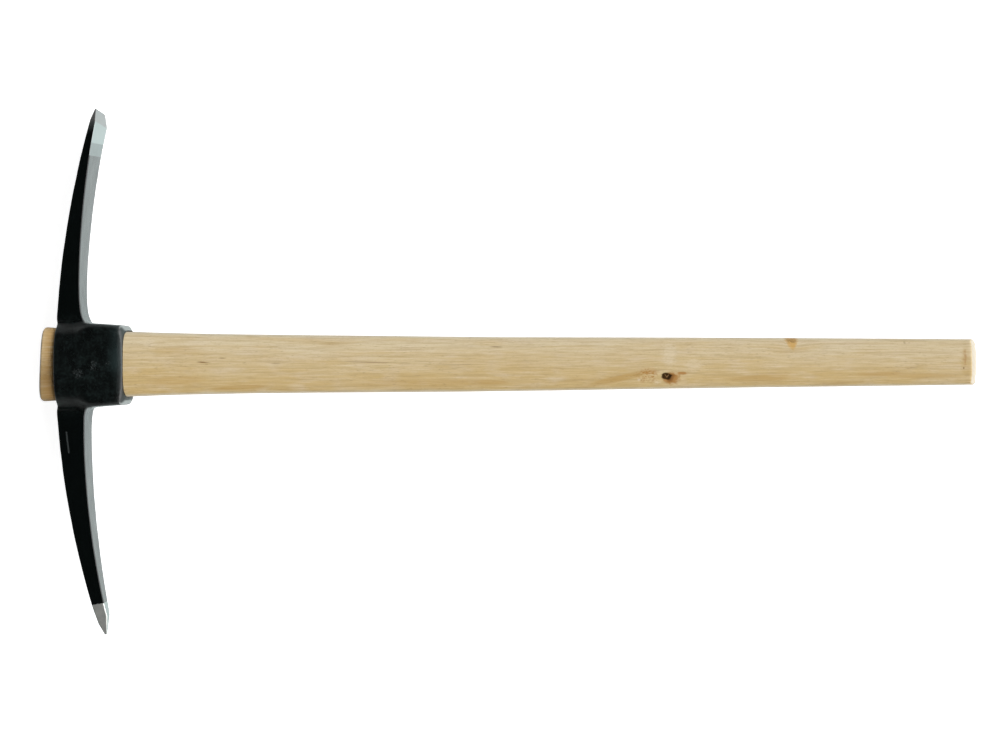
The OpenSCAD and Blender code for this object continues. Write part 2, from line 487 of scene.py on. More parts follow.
grain_y = wood_y
upper_side = soft_step(wood_z, *UPPER_SIDE)
for knot in KNOTS.values():
    away_x = (wood_x - knot["x"]) / KNOT_STRETCH
    away_y = wood_y - knot["y"]
    squared = away_x * away_x + away_y * away_y
    push = knot["size"] ** 2 / (squared + knot["size"] ** 2 * KNOT_SOFTNESS)
    grain_y = grain_y - away_y * push * upper_side * KNOT_PUSH
print("knots:", ", ".join(KNOTS))

# %% [markdown]
# Growth rings are shells around the pith, which lies outside this stick. Each ring darkens slowly and ends
# at once, and a slow noise keeps it from being a true circle. All that is finer is noise drawn out along
# the handle: the longer and thinner its grains are, the more they look like fibres.

# %% Growth rings, fibres and dashes
PITH = (64.0, -78.0)
RING_GAP = 3.4
RING_WANDER = 9.0
LATE_WOOD_RISES = (0.35, 0.92)
LATE_WOOD_ENDS = (1.0, 0.93)
DASH_PLACES = (0.35, 0.7)
DASH_GAIN = 0.08
DASH_EDGE = (0.68, 0.78)


def grain(long, fine, detail, roughness=0.5, height=grain_y):
    """Noise whose grains are this long and this fine."""
    return speckle(wood_x, height, wood_z, (long, fine, fine), detail, roughness)


wander = grain(170.0, 26.0, 2.0) - 0.5
ring_radius = distance(grain_y - PITH[0], wood_z - PITH[1]) + wander * RING_WANDER
ring_place = ring_radius / RING_GAP
in_ring = ring_place.math("FRACT", ring_place)
late_wood = soft_step(in_ring, *LATE_WOOD_RISES) * soft_step(in_ring, *LATE_WOOD_ENDS)
ring_strength = grain(70.0, 4.0, 1.0)
fibre = grain(30.0, 1.3, 3.0, 0.6)
fine_fibre = grain(12.0, 0.6, 2.0, 0.6)
flecks = grain(2.4, 0.9, 2.0, 0.7)
cloud = grain(90.0, 13.0, 2.0)
warm_cloud = grain(48.0, 6.0, 3.0)
pale_cloud = grain(26.0, 9.0, 3.0, height=wood_y)
dash_places = ramp(grain(60.0, 16.0, 1.0, height=wood_y), *DASH_PLACES)
dashes = soft_step(grain(6.0, 0.8, 1.0) + dash_places * DASH_GAIN, *DASH_EDGE)
print("ring every", RING_GAP, "mm")

# %% [markdown]
# Marks that are seen at one place only are put there: tan tongues, clear patches and dark dashes. Each mark
# is a soft spindle, written as the place of its middle, its half length and half height, its lean and its
# strength. Noise makes the outline ragged, so that it looks grown and not drawn.

# %% Tongues, clear patches and dark marks
TONGUES = {
    "long_low": (-80.0, -19.5, 92.0, 4.2, 0.01, 0.5),
    "tip_low": (-18.0, -18.6, 22.0, 2.6, -0.02, 0.8),
    "rising": (106.0, -15.0, 42.0, 4.2, 0.22, 1.0),
    "wedge": (240.0, -15.4, 40.0, 4.0, 0.04, 0.75),
    "band": (356.0, -11.6, 30.0, 2.7, 0.02, 0.85),
    "band_tail": (396.0, -13.4, 44.0, 3.2, 0.0, 0.55),
    "near_collar": (-262.0, -23.2, 34.0, 2.6, 0.05, 0.95),
    "at_collar": (-318.0, -16.0, 34.0, 4.6, 0.08, 0.5),
    "high_collar": (-318.0, 12.0, 30.0, 4.0, 0.0, 0.35),
    "at_butt": (438.0, 1.0, 6.0, 20.0, 0.0, 0.35),
}
CLEAR_PATCHES = {
    "over_knot": (153.5, 8.0, 8.0, 15.0, 0.0, 0.60),
    "beside_knot": (176.0, -3.0, 11.0, 8.0, 0.0, 0.45),
    "cream_spot": (124.0, -16.4, 2.6, 1.8, 0.0, 0.95),
    "under_knot": (142.0, -19.0, 8.0, 3.6, 0.0, 0.5),
    "at_collar": (-345.0, 20.0, 7.0, 5.0, 0.0, 0.5),
}
DARK_MARKS = {
    "dash_one": (-294.0, 1.2, 8.0, 0.9, -0.05, 0.9),
    "dash_two": (-275.6, 5.2, 5.0, 0.8, 0.0, 0.6),
    "dash_three": (-224.2, 0.0, 7.0, 1.0, 0.0, 0.4),
    "long_line": (-136.0, 1.0, 32.0, 0.8, -0.02, 0.55),
    "line_after": (-52.0, -1.6, 36.0, 0.7, 0.01, 0.4),
    "grey_dash": (-13.0, 15.4, 8.0, 1.0, -0.03, 0.6),
    "butt_dot": (435.8, -6.0, 1.2, 1.4, 0.0, 0.9),
    "top_speck": (379.5, 18.6, 1.5, 1.8, 0.0, 0.35),
}
print(len(TONGUES), "tongues,", len(CLEAR_PATCHES), "clear patches,", len(DARK_MARKS), "marks")

# %% Spindles
SPINDLE_RIM = 1.05
SOFT_CORE = 0.2
FULL_CORE = 0.55


def spindle(mark, raggedness, core):
    """A long soft patch that comes to a point at both ends."""
    x, y, long, high, lean, strength = mark
    away = wood_x - x
    height = wood_y - y - away * lean
    far = distance(away / long, height / high) + raggedness
    return soft_step(far, SPINDLE_RIM, core) * strength


def marked(marks, raggedness, core):
    """All marks of one kind, on the upper side of the handle only."""
    return strongest([spindle(mark, raggedness, core) for mark in marks.values()]) * upper_side


tan_share = marked(TONGUES, wander * 0.8 + (fibre - 0.5) * 0.6, FULL_CORE)
clear_ragged = wander * 1.2 + (flecks - 0.5) * 1.2 + (cloud - 0.5) * 0.8
clear_share = marked(CLEAR_PATCHES, clear_ragged, SOFT_CORE)
mark_share = marked(DARK_MARKS, (fine_fibre - 0.5) * 1.2, SOFT_CORE)
print("nodes in the wood so far:", len(handle_wood.node_tree.nodes))

# %% [markdown]
# The colours are laid over each other as glazes are, the broad ones first: the paler upper half, warm and
# pale clouds, a painted sheen that greys the flanks, and on the stub that stands out of the eye a browner
# tone that is partly its own and partly painted shade. Then come lines, tongues, dashes and marks, and at
# last painted shade over the lower half of the stub.

# %% Colours of the wood
UPPER_WOOD = opaque(0.660, 0.555, 0.365)
LOWER_WOOD = opaque(0.570, 0.420, 0.195)
# Painted sheen: a greyer, paler wood for the flanks, standing in for the white floor they would mirror.
FLANK_SHEEN_WOOD = opaque(0.640, 0.600, 0.495)
WARM_WOOD = opaque(0.560, 0.390, 0.150)
PALE_WOOD = opaque(0.670, 0.565, 0.410)
CLEAR_WOOD = opaque(0.720, 0.620, 0.440)
TAN_WOOD = opaque(0.480, 0.315, 0.115)
LINE_WOOD = opaque(0.380, 0.255, 0.110)
MARK_WOOD = opaque(0.230, 0.135, 0.055)
# Partly the stub's own browner tone and partly painted shade from the eye's rim; STUB_SHADE is painted shade
# for its lower half.
STUB_TONE_AND_SHADE = opaque(0.500, 0.310, 0.115)
STUB_SHADE = opaque(0.080, 0.025, 0.000)
UPPER_HALF_SPAN = (-20.0, 20.0)
FLANK_TURN = (0.75, 0.2)
STUB_BEGINS = (-405.0, -432.0)
STUB_RAGGED = 30.0
STUB_END = (-454.0, -440.0)
STUB_SHADED = (9.0, -13.0)


def layered(colour, layers):
    """Lays colours over a colour, one after another, each by its own share."""
    for share, layer in layers:
        colour = mix_colour(share, colour, layer)
    return colour


facing_x, _, facing_z = split(beech.node("ShaderNodeNewGeometry", out="Normal"))
# Painted sheen on the flanks, which turn away from the camera.
flank_sheen = soft_step(abs(facing_z), *FLANK_TURN)
height_share = ramp(wood_y, *UPPER_HALF_SPAN) + (cloud - 0.5) * 1.1
# The stub next to the eye gets a browner tone that is partly painted shade.
stub = soft_step(wood_x + (cloud - 0.5) * STUB_RAGGED, *STUB_BEGINS)
wood_layers = [
    (ramp(height_share, 0.0, 1.0), UPPER_WOOD),
    (ramp(warm_cloud, 0.48, 0.72) * 0.4, WARM_WOOD),
    (ramp(pale_cloud, 0.50, 0.75) * 0.45, PALE_WOOD),
    (flank_sheen * 0.75, FLANK_SHEEN_WOOD),
    (stub * soft_step(wood_x, *STUB_END) * 0.9, STUB_TONE_AND_SHADE),
    (clear_share, CLEAR_WOOD),
    (late_wood * ramp(ring_strength, 0.35, 0.75) * 0.36, LINE_WOOD),
    (ramp(fibre, 0.50, 0.78) * 0.52, LINE_WOOD),
    (ramp(fibre, 0.48, 0.22) * 0.55, CLEAR_WOOD),
    (ramp(fine_fibre, 0.50, 0.80) * 0.40, LINE_WOOD),
    (ramp(flecks, 0.55, 0.80) * 0.34, LINE_WOOD),
    (tan_share * ramp(fibre, 0.25, 0.65, 0.5, 0.95), TAN_WOOD),
    (dashes * 0.3, MARK_WOOD),
    (mark_share, MARK_WOOD),
    # Painted shade over the lower half of the stub.
    (stub * ramp(wood_y, *STUB_SHADED) * 0.43, STUB_SHADE),
]
wood_colour = layered(LOWER_WOOD, wood_layers)
print(len(wood_layers), "layers of colour on the wood")

# %% [markdown]
# The open knot is a dark ring around a paler heart, with an orange stain to its right and brown specks to
# its left. Each patch is written as its shift from the knot, its half length and its half height.

# %% The open knot
HEART_SHIFT = 0.6
HEART_SLOPE = 1.3
HEART_DROP = 1.2
HEART_REACH = (2.6, 1.2)

open_knot = KNOTS["open_knot"]
blotch = grain(4.0, 3.0, 2.0, height=wood_y) - 0.5
smudge = grain(9.0, 3.4, 2.0, height=wood_y) - 0.5


def beside_knot(shift_x, shift_y, long, high, ragged, core, strength):
    """A ragged patch on or beside the open knot."""
    reach = (wood_x - open_knot["x"] - shift_x) / long
    height = (wood_y - open_knot["y"] - shift_y) / high
    return soft_step(distance(reach, height) + ragged, 1.0, core) * strength


stain = beside_knot(5.5, -1.5, 10.0, 7.5, blotch, 0.4, 0.9)
tail = beside_knot(15.0, 3.0, 8.5, 2.0, blotch, 0.3, 0.85)
specks = beside_knot(-18.0, 1.0, 15.0, 9.5, 0.0, 0.3, 0.85)
specks = specks * soft_step(smudge * 0.5 + flecks, 0.44, 0.60)
burnt = beside_knot(1.6, -0.6, 7.4, 5.6, smudge, 0.5, 0.85)
ring = beside_knot(0.0, 0.0, 5.6, 4.2, smudge * 0.9, 0.7, 1.0)
heart_x = abs(wood_x - open_knot["x"] - HEART_SHIFT)
heart_y = wood_y - open_knot["y"] - HEART_SHIFT
heart = soft_step(abs(heart_y - heart_x * HEART_SLOPE + HEART_DROP) + blotch * 1.2, 1.0, 0.2)
heart = heart * soft_step(heart_x, *HEART_REACH) * ring * 0.85
print("open knot at", open_knot["x"], open_knot["y"])

# %% [markdown]
# The other knot is cut by the handle's upper edge: an orange tooth, brown along the edge. A brown smudge
# lies near the butt, and the sawn ends are greyer than the sanded sides.

# %% The edge knot and the butt's smudge
TOOTH_SPAN = (11.0, 22.0)
TOOTH_HALF = (1.2, 5.6)
TOOTH_PIVOT = 20.0
TOOTH_LEAN = 0.12
TOOTH_SIDE = (2.0, -2.2)
TOOTH_TIP = (9.5, 15.0)
TOOTH_BROWN = (17.0, 20.0)
SMUDGE_PLACE = (437.4, 4.0)
SMUDGE_LONG = (2.6, 0.4)
SMUDGE_HIGH = (9.0, 5.0)

edge_knot = KNOTS["edge_knot"]
tooth_half = ramp(wood_y, *TOOTH_SPAN, *TOOTH_HALF)
off_tooth = abs(wood_x - edge_knot["x"] + (wood_y - TOOTH_PIVOT) * TOOTH_LEAN) - tooth_half
off_tooth = off_tooth + blotch * 5.0 + (flecks - 0.5) * 8.0
tooth = soft_step(off_tooth, *TOOTH_SIDE) * soft_step(wood_y + blotch * 4.0, *TOOTH_TIP)
tooth_brown = tooth * soft_step(wood_y + blotch * 5.0, *TOOTH_BROWN)
butt_smudge = soft_step(abs(wood_x - SMUDGE_PLACE[0]) + blotch * 6.0, *SMUDGE_LONG)
butt_smudge = butt_smudge * soft_step(abs(wood_y - SMUDGE_PLACE[1]) + smudge * 8.0, *SMUDGE_HIGH)
print("edge knot at", edge_knot["x"], edge_knot["y"])

# %% Colours of the knots and the ends
HALO_WOOD = opaque(0.385, 0.180, 0.045)
BURNT_WOOD = opaque(0.215, 0.095, 0.026)
CORE_WOOD = opaque(0.034, 0.014, 0.001)
HEART_WOOD = opaque(0.230, 0.130, 0.055)
ORANGE_WOOD = opaque(0.580, 0.335, 0.085)
END_WOOD = opaque(0.490, 0.455, 0.385)
END_TURN = (0.3, 0.6)

end_face = soft_step(abs(facing_x), *END_TURN)
knot_layers = [
    (stain, HALO_WOOD),
    (tail, HALO_WOOD),
    (specks, HALO_WOOD),
    (butt_smudge * 0.55, HALO_WOOD),
    (tooth * 0.8, ORANGE_WOOD),
    (tooth_brown * soft_step(flecks, 0.38, 0.58) * 0.75, MARK_WOOD),
    (burnt, BURNT_WOOD),
    (ring, CORE_WOOD),
    (heart, HEART_WOOD),
]
end_layers = [(end_face * 0.9, END_WOOD), (end_face * late_wood * 0.15, LINE_WOOD)]
wood_colour = layered(wood_colour, [(share * upper_side, wood) for share, wood in knot_layers])
wood_colour = layered(wood_colour, end_layers)
print(len(knot_layers) + len(end_layers), "layers on the knots and ends")

# %% [markdown]
# Sanded wood is dull, and its fibres stand up a little while dashes and the open knot lie deeper. Such a
# fine relief would need millions of faces, so a Bump node tilts the surface instead.

# %% The wood's surface
WOOD_RELIEF = 0.18
WOOD_RELIEF_STRENGTH = 0.5
WOOD_ROUGHNESS = 0.55
WOOD_GLOSS = 0.12


def relief(height, depth, strength):
    """The surface's direction where it has this height."""
    inputs = {"Strength": strength, "Distance": depth * MM, "Height": height}
    return height.node("ShaderNodeBump", None, inputs)


wood_height = fibre * 0.6 + fine_fibre * 0.5 - dashes * 0.5 - mark_share * 0.5
wood_height = wood_height - ring * upper_side * 2.0
cover(beech, {
    "Base Color": wood_colour,
    "Roughness": WOOD_ROUGHNESS + fibre * 0.2 + end_face * 0.1 + ring * 0.2,
    "Specular IOR Level": WOOD_GLOSS,
    "Normal": relief(wood_height, WOOD_RELIEF, WOOD_RELIEF_STRENGTH),
})
print("nodes in the wood:", len(handle_wood.node_tree.nodes))

# %% [markdown]
# With the wood ready, the tree can finish: the grid is moved onto the oval, its seam and the middles of the
# end faces are merged shut, and it is shaded smooth. The modifier's inputs are set by their identifiers,
# and the result is then baked to a plain mesh, because the model is exported without modifiers.

# %% Close the tree
SEAM_GAP = 0.01

moved = stick.node("GeometryNodeSetPosition", None, {"Geometry": grid, "Position": bent})
seam = {"Geometry": moved, "Distance": SEAM_GAP * MM}
closed = stick.node("GeometryNodeMergeByDistance", None, seam)
smooth = stick.node("GeometryNodeSetShadeSmooth", None, {"Geometry": closed})
real = stick.node("GeometryNodeRealizeInstances", None, {"Geometry": smooth})
dressed = stick.node("GeometryNodeSetMaterial", None, {"Geometry": real, "Material": handle_wood})
stick.node("NodeGroupOutput", None, {0: dressed})
print("nodes in the handle:", len(handle_tree.nodes))

# %% Bake the handle
def closed_outwards(mesh):
    """Drops loose points, turns every face outwards and says how many edges are open."""
    work = bmesh.new()
    work.from_mesh(mesh)
    loose = [point for point in work.verts if not point.link_faces]
    bmesh.ops.delete(work, geom=loose, context="VERTS")
    bmesh.ops.recalc_face_normals(work, faces=work.faces)
    open_edges = sum(1 for edge in work.edges if not edge.is_manifold)
    work.to_mesh(mesh)
    work.free()
    return open_edges


def baked(maker, name):
    """A plain object with what the maker's modifiers give."""
    graph = bpy.context.evaluated_depsgraph_get()
    mesh = bpy.data.meshes.new_from_object(maker.evaluated_get(graph))
    mesh.name = name
    result = bpy.data.objects.new(name, mesh)
    scene.collection.objects.link(result)
    return result


handle_maker = bpy.data.objects.new("handle_maker", bpy.data.meshes.new("handle_maker"))
scene.collection.objects.link(handle_maker)
shaping = handle_maker.modifiers.new("oval", "NODES")
shaping.node_group = handle_tree
for name, value in HANDLE_SIZES.items():
    shaping[size_sockets[name]] = value
handle = baked(handle_maker, "handle_stick")
bpy.data.objects.remove(handle_maker)
handle_open = closed_outwards(handle.data)
print("handle:", len(handle.data.polygons), "faces,", handle_open, "open edges")

# %% [markdown]
# ## The head
# The head is one forging: an eye with two arms that flow out of it. The eye is oval at its top rim and turns
# square towards its collar, which has a bevel and two small lugs. A subdivision surface is made for such
# flowing joints, so a coarse cage of four-sided faces is built first. The eye is a ring-shaped grid: one
# way runs around the oval, the other down the outside, over the collar rim, back up through the hole and
# over the top rim. A block of its faces is left open on each side, and an arm grows out of each block.

# %% The eye's rims and ovals
TOP_RIM = 14.3
COLLAR_RIM = 78.7
EYE_TOP = np.array([43.16, 27.01])
EYE_COLLAR = np.array([38.37, 24.3])
HOLE_TOP = np.array([35.31, 22.16])
HOLE_COLLAR = np.array([31.95, 20.72])
CROWN = [-20.0, -4.0, 0.0, 4.0, 20.0]
SIDE = [34.0, 45.0, 56.0, 70.0, 82.0, 90.0, 98.0, 110.0, 124.0, 135.0, 146.0]
HALF_ROUND = CROWN + SIDE
OVAL_TURNS = np.radians(HALF_ROUND + [turn + 180.0 for turn in HALF_ROUND])


def between_rims(s, top, collar):
    """A size at a place along the handle, from its sizes at both rims."""
    return top + (collar - top) * (s - TOP_RIM) / (COLLAR_RIM - TOP_RIM)


def oval(half, power, shift):
    """Height and depth of points around an oval."""
    c = np.cos(OVAL_TURNS)
    s = np.sin(OVAL_TURNS)
    y = half[0] * np.sign(c) * np.abs(c) ** (2 / power) + shift
    z = half[1] * np.sign(s) * np.abs(s) ** (2 / power)
    return np.stack([y, z], axis=1)


print("points around the eye:", len(OVAL_TURNS))

# %% [markdown]
# Subdivision draws a cage inwards, so a ring of cage points has to lie a little outside the oval that it
# should give. How far is a small set of equations: each smoothed point is two thirds of its own cage point
# plus a sixth of each neighbour. Solving them makes the finished eye pass exactly through the oval.

# %% Cage rings that give the oval back
def cage_ring(points):
    """The cage points whose smoothed ring passes through these points."""
    count = len(points)
    weights = np.eye(count) * 4.0
    weights += np.roll(np.eye(count), 1, axis=1)
    weights += np.roll(np.eye(count), -1, axis=1)
    return np.linalg.solve(weights / 6.0, points)


def curved(s, half, power, shift, bulge, tilt, lug):
    """A ring that may bulge at its sides, tilt from side to side or reach out in two lugs."""
    ring = oval(half, power, shift)
    across = (ring[:, 0] - shift) / half[0]
    up = ring[:, 1] / half[1]
    depth = s + bulge * across ** 2 - tilt * across + lug * (1.0 - up ** 2)
    return np.column_stack([depth, ring])


print("a smoothed point keeps", round(4 / 6, 2), "of its own cage point")

# %% Rings of the eye and of its hole
EYE_SHIFT = -1.2
EYE_POWERS = (2.6, 10.0)
EYE_TURNS_SQUARE = (30.0, 62.0)
HOLE_POWER = 4.0


def eye_power(s):
    """An oval at the top rim that turns squarer towards the collar."""
    start, end = EYE_TURNS_SQUARE
    share = min(max((s - start) / (end - start), 0.0), 1.0)
    return EYE_POWERS[0] + (EYE_POWERS[1] - EYE_POWERS[0]) * share * share * (3.0 - 2.0 * share)


def eye_ring(s, inset=(0.0, 0.0), bulge=0.0, tilt=0.0, lug=0.0, power=None):
    """A ring on the outside of the eye, drawn in by inset."""
    half = between_rims(s, EYE_TOP, EYE_COLLAR) - inset
    return curved(s, half, power or eye_power(s), EYE_SHIFT, bulge, tilt, lug)


def hole_ring(s, outset=0.0, bulge=0.0, lug=0.0):
    """A ring in the hole, widened by outset."""
    half = between_rims(s, HOLE_TOP, HOLE_COLLAR) + outset
    return curved(s, half, HOLE_POWER, 0.0, bulge, 0.0, lug)


print("power of the eye's oval:", eye_power(TOP_RIM), "to", eye_power(COLLAR_RIM))

# %% [markdown]
# The rows of the cage follow, each with its place along the handle from the top end. Rows that lie close
# together make a crisp rim, and far ones a soft side. The arms grow out of the rows from BACK_ROW to
# INNER_ROW.

# %% The rows of the eye
EYE_ROWS = [
    hole_ring(15.0, 0.0, 0.6),
    hole_ring(14.3, 0.7, 0.6),
    (eye_ring(14.3, bulge=0.6) + hole_ring(14.3, 0.0, 0.6)) / 2,
    eye_ring(14.3, (0.9, 0.9), 0.7),
    eye_ring(15.2, (0.0, 0.0), 0.9),
    eye_ring(25.5),
    eye_ring(34.0, tilt=1.0),
    eye_ring(43.0, (-0.60, 0.00), tilt=1.0),
    eye_ring(47.0, (-0.15, 0.00), tilt=1.0),
    eye_ring(51.0, tilt=1.0),
    eye_ring(58.0),
    eye_ring(65.0),
    eye_ring(71.0),
    eye_ring(74.4, (0.00, 0.22)),
    eye_ring(76.4, (0.00, 0.48)),
    eye_ring(77.6, (0.40, 0.70), lug=0.2, power=8.0),
    eye_ring(78.8, (2.60, 1.10), lug=1.2, power=5.5),
    eye_ring(79.6, (4.40, 1.60), lug=2.4, power=4.5),
    hole_ring(79.8, 0.35, lug=2.6),
    hole_ring(79.3, lug=2.6),
    hole_ring(66.0),
    hole_ring(50.0),
    hole_ring(34.0),
    hole_ring(22.0),
]
BACK_ROW = 2
INNER_ROW = 7
print("rows of the eye:", len(EYE_ROWS))

# %% The eye's cage
cage_points = []
for ring in EYE_ROWS:
    cage_points.extend(tuple(point) for point in cage_ring(ring))

rows = len(EYE_ROWS)
columns = len(OVAL_TURNS)


def eye_point(row, column):
    return (row % rows) * columns + column % columns


def left_open(row, column):
    in_rows = BACK_ROW <= row < INNER_ROW
    on_chisel = column < len(CROWN) - 1
    on_point = len(HALF_ROUND) <= column < len(HALF_ROUND) + len(CROWN) - 1
    return in_rows and (on_chisel or on_point)


cage_faces = []
for row in range(rows):
    for column in range(columns):
        if left_open(row, column):
            continue
        first = (eye_point(row, column), eye_point(row, column + 1))
        second = (eye_point(row + 1, column + 1), eye_point(row + 1, column))
        cage_faces.append(first + second)
print("faces of the eye's cage:", len(cage_faces))

# %% [markdown]
# An arm is a row of sections across it. Each section is a small grid of points: six from the arm's back to
# its inner face, and five across its width. The rows next to an edge lie close to it, which keeps that edge
# crisp when the cage is smoothed. Both arms bend away from the eye along the arc of the swing.

# %% Sections across an arm
EDGE_SUPPORT = 1.9
SUPPORT_IN_DEPTH = 0.28
SUPPORT_IN_WIDTH = 0.4
MIDDLE_ROWS = (0.36, 0.64)
DEEP = INNER_ROW - BACK_ROW + 1
WIDE = len(CROWN)
RIM_OF_SECTION = (
    [(deep, 0) for deep in range(DEEP)]
    + [(DEEP - 1, wide) for wide in range(1, WIDE)]
    + [(deep, WIDE - 1) for deep in range(DEEP - 2, -1, -1)]
    + [(0, wide) for wide in range(WIDE - 2, 0, -1)]
)


def section(y, back, thick, half_wide):
    """Points of a section, by steps from the back and steps across."""
    support = min(EDGE_SUPPORT, SUPPORT_IN_DEPTH * thick, SUPPORT_IN_WIDTH * half_wide)
    inner = back + thick
    middles = [back + share * thick for share in MIDDLE_ROWS]
    xs = [back, back + support, *middles, inner - support, inner]
    zs = [-half_wide, support - half_wide, 0.0, half_wide - support, half_wide]
    return {(d, w): (xs[d], y, zs[w]) for d in range(DEEP) for w in range(WIDE)}


def add_arm(first_column, sections, side):
    """Joins the sections to the open block of the eye and closes the last one. Side is 1 or -1 along Y."""
    ring = [eye_point(BACK_ROW + deep, first_column + wide) for deep, wide in RIM_OF_SECTION]
    for cut in sections:
        start = len(cage_points)
        for key in RIM_OF_SECTION:
            x, y, z = cut[key]
            cage_points.append((x, y * side, z * side))
        new_ring = list(range(start, start + len(RIM_OF_SECTION)))
        for i in range(len(ring)):
            j = (i + 1) % len(ring)
            cage_faces.append((ring[i], ring[j], new_ring[j], new_ring[i]))
        ring = new_ring
    index = dict(zip(RIM_OF_SECTION, ring))
    for key, (x, y, z) in sections[-1].items():
        if key not in index:
            index[key] = len(cage_points)
            cage_points.append((x, y * side, z * side))
    for d in range(DEEP - 1):
        for w in range(WIDE - 1):
            cage_faces.append((index[d, w], index[d + 1, w], index[d + 1, w + 1], index[d, w + 1]))


print("points around a section:", len(RIM_OF_SECTION))

# %% [markdown]
# The chisel arm thins and spreads evenly towards its edge. Its end is ground: a bevel on the inner side
# makes the edge, and both corners of the edge are clipped. Near the eye the arm swells a little, where the
# forging die had its round corners. A swelling is written as its start, its size and its reach, and a bend
# as its middle, its depth and its reach.

# %% Arcs, swellings and bends
ARM_START = 43.16


def arc_back(y, radius):
    """How far the arm's back has bent away from the top rim."""
    def sag(height):
        return radius - math.sqrt(radius * radius - height * height)
    return TOP_RIM + sag(y) - sag(ARM_START)


def swell(y, start, rise, reach):
    """A swelling next to the eye that dies out along the arm."""
    return rise * math.exp(-((y - start) / reach))


def bend(y, middle, depth, reach):
    """A slight bend around one place of the arm."""
    return depth * math.exp(-(((y - middle) / reach) ** 2))


print("arms leave the eye at", ARM_START, "mm")

# %% The chisel arm
CHISEL_ROOT = 39.5
CHISEL_REACH = 245.0
CHISEL_ARC = 780.0
CHISEL_HEEL = 232.0
CHISEL_CLIP = 234.0
CHISEL_THICKNESS = [22.4, 5.9, 1.0]
CHISEL_HALF_WIDTH = [13.0, 22.25, 17.0]
CHISEL_SWELLS_IN = [(43.0, 2.9, 10.0), (42.6, 0.7, 2.6)]
CHISEL_SWELL_SIDE = (43.0, 1.8, 9.0)
CHISEL_BEND = (150.0, 0.75, 62.0)
CHISEL_PLACES = [42.6, 46.6, 52.0, 61.0, 72.0, 86.0, 108.0, 132.0, 156.0, 182.0, 206.0]
CHISEL_PLACES += [222.0, 229.6, 231.4, 232.6, 234.4, 236.5, 240.5, 244.2, 245.0]


def chisel_section(y):
    """The section of the chisel arm at this height."""
    thick = np.interp(y, [CHISEL_ROOT, CHISEL_HEEL, CHISEL_REACH], CHISEL_THICKNESS)
    thick += sum(swell(y, *root) for root in CHISEL_SWELLS_IN)
    half_wide = np.interp(y, [CHISEL_ROOT, CHISEL_CLIP, CHISEL_REACH], CHISEL_HALF_WIDTH)
    half_wide += swell(y, *CHISEL_SWELL_SIDE)
    return section(y, arc_back(y, CHISEL_ARC) + bend(y, *CHISEL_BEND), thick, half_wide)


add_arm(0, [chisel_section(y) for y in CHISEL_PLACES], 1)
print("sections of the chisel arm:", len(CHISEL_PLACES))

# %% [markdown]
# The point arm is thicker and narrows both ways, slowly at first. Its end is ground to four short facets
# that meet in a blunted tip, which lies nearer to the inner face than to the back.

# %% The shaft of the point arm
POINT_ROOT = 41.7
POINT_HEEL = 249.5
POINT_ARC = 860.0
POINT_THICKNESS = (26.8, 11.2)
POINT_HALF_WIDTH = (14.6, 6.1)
POINT_BEND = (160.0, 0.35, 60.0)


def between(first, last, share):
    """A value that goes from first to last in a straight line."""
    return first + (last - first) * share


def point_shaft(y):
    """Back, thickness and half width of the arm before its point is ground."""
    share = (y - POINT_ROOT) / (POINT_HEEL - POINT_ROOT)
    back = arc_back(y, POINT_ARC) + bend(y, *POINT_BEND)
    return back, between(*POINT_THICKNESS, share), between(*POINT_HALF_WIDTH, share ** 2)


print("point arm at its heel:", [round(size_there, 1) for size_there in point_shaft(POINT_HEEL)])

# %% The ground point
POINT_REACH = 262.5
INNER_HEEL = 244.0
BACK_HEEL = 251.6
SIDE_HEEL = 236.0
POINT_TIP = 2.0
POINT_SET = 2.8
POINT_SWELL_IN = (45.0, 1.2, 5.0)
POINT_SWELL_SIDE = (45.0, 1.2, 9.0)
POINT_PLACES = [45.0, 49.0, 54.0, 63.0, 76.0, 92.0, 114.0, 138.0, 163.0, 188.0, 212.0]
POINT_PLACES += [230.0, 236.0, 242.0, 244.0, 246.0, 250.8, 251.6, 252.4, 257.5, 261.4, 262.5]


def ground(y, heel, at_heel, at_tip):
    """A facet's place, in a straight line from its heel to the tip."""
    return between(at_heel, at_tip, (y - heel) / (POINT_REACH - heel))


def point_section(y):
    """The section of the point arm at this depth below the eye."""
    back, thick, half_wide = point_shaft(y)
    inner = back + thick
    tip_inner = sum(point_shaft(POINT_HEEL)[:2]) - POINT_SET
    if y > INNER_HEEL:
        inner = ground(y, INNER_HEEL, sum(point_shaft(INNER_HEEL)[:2]), tip_inner)
    if y > BACK_HEEL:
        back = ground(y, BACK_HEEL, point_shaft(BACK_HEEL)[0], tip_inner - POINT_TIP)
    if y > SIDE_HEEL:
        half_wide = ground(y, SIDE_HEEL, point_shaft(SIDE_HEEL)[2], POINT_TIP / 2)
    thick = inner - back + swell(y, *POINT_SWELL_IN)
    return section(y, back, thick, half_wide + swell(y, *POINT_SWELL_SIDE))


add_arm(len(HALF_ROUND), [point_section(y) for y in POINT_PLACES], -1)
print("faces of the whole cage:", len(cage_faces))

# %% [markdown]
# The cage is now one closed mesh, once the points inside the open blocks are dropped, which belong to no
# face. Three levels of subdivision turn it into the forging. A forged face isn't dead flat, so each point
# is then moved a little along its normal by a smooth noise, less on the ground ends and not at all in the
# hole, where the wood sits.

# %% Smooth the cage
HALF_LENGTH = 450.0
SMOOTH_LEVELS = 3

cage = bpy.data.meshes.new("head_cage")
placed = [((s - HALF_LENGTH) * MM, (y + AXIS_Y) * MM, (z + AXIS_Z) * MM) for s, y, z in cage_points]
cage.from_pydata(placed, [], cage_faces)
cage_open = closed_outwards(cage)
head_maker = bpy.data.objects.new("head_maker", cage)
scene.collection.objects.link(head_maker)
smoothing = head_maker.modifiers.new("smooth", "SUBSURF")
smoothing.levels = SMOOTH_LEVELS
smoothing.render_levels = SMOOTH_LEVELS
head = baked(head_maker, "head_forging")
bpy.data.objects.remove(head_maker)
print("open edges in the cage:", cage_open, "- faces of the head:", len(head.data.polygons))

